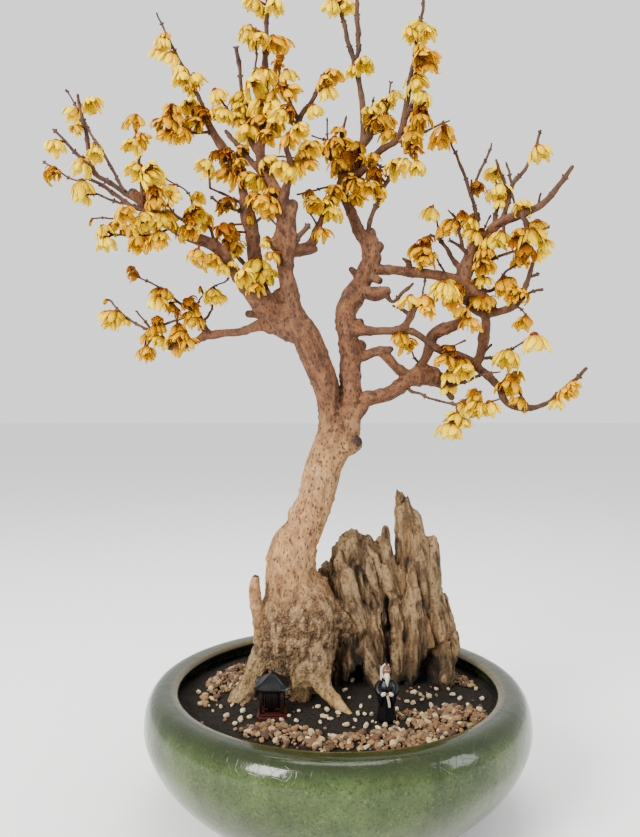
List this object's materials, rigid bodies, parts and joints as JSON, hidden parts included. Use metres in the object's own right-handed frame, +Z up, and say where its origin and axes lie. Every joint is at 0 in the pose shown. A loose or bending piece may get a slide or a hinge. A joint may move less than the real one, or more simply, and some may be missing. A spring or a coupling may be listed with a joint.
{
  "type": "bonsai tree in pot",
  "caption": "Wintersweet bonsai in flower with a forked trunk, bare spreading twigs, a weathered dead stump at its foot and a round green glazed bulb bowl.",
  "frame": {"origin": "centre of the pot's foot, on the plane it stands on", "axes": "+Z up along the pot's axis, +X to the right and +Y away from a viewer who faces the tree's front"},
  "size_m": [0.5125, 0.3756, 0.8411],
  "materials": {
    "pot_glaze": "gloss",
    "net": "matte",
    "soil": "matte",
    "bark": "matte",
    "grit": "matte",
    "figure_glaze": "gloss",
    "pavilion_glaze": "gloss",
    "petal": "satin"
  },
  "bodies": {
    "root": {"bloom_arm_far_tip": "petal", "bloom_arm_middle": "petal", "bloom_arm_tip": "petal", "bloom_crown_left": "petal", "bloom_crown_middle": "petal", "bloom_crown_spur": "petal", "bloom_crown_stem": "petal", "bloom_crown_tip": "petal", "bloom_far_left_shoot": "petal", "bloom_far_left_tip": "petal", "bloom_far_right_low": "petal", "bloom_far_right_mass": "petal", "bloom_far_right_shoot": "petal", "bloom_far_right_tip": "petal", "bloom_fork_mass": "petal", "bloom_fork_pair": "petal", "bloom_fork_upper": "petal", "bloom_high_left_mass": "petal", "bloom_high_left_stem": "petal", "bloom_inner_bright": "petal", "bloom_inner_left": "petal", "bloom_inner_ochre": "petal", "bloom_inner_twig": "petal", "bloom_left_fork": "petal", "bloom_left_inner_mass": "petal", "bloom_left_lower_spray": "petal", "bloom_left_mass": "petal", "bloom_left_underside": "petal", "bloom_left_upper_spray": "petal", "bloom_left_upright": "petal", "bloom_limb_spur": "petal", "bloom_long_shoot": "petal", "bloom_long_shoot_top": "petal", "bloom_loop_mass": "petal", "bloom_low_stem": "petal", "bloom_lower_right": "petal", "bloom_mid_right_tips": "petal", "bloom_middle_twig": "petal", "bloom_right_inner": "petal", "bloom_right_knob": "petal", "bloom_right_low_mass": "petal", "bloom_right_mass": "petal", "bloom_right_middle": "petal", "bloom_right_outer": "petal", "bloom_right_shoot_top": "petal", "bloom_right_spur": "petal", "bloom_right_twig_tip": "petal", "drain_screen_1": "net", "drain_screen_2": "net", "drain_screen_3": "net", "grit_back_right": "grit", "grit_front": "grit", "grit_front_left": "grit", "grit_left": "grit", "grit_right": "grit", "miniature_elder": "figure_glaze", "miniature_pavilion": "pavilion_glaze", "pot": "pot_glaze", "soil": "soil", "tree_wood": "bark"}
  },
  "joints": []
}
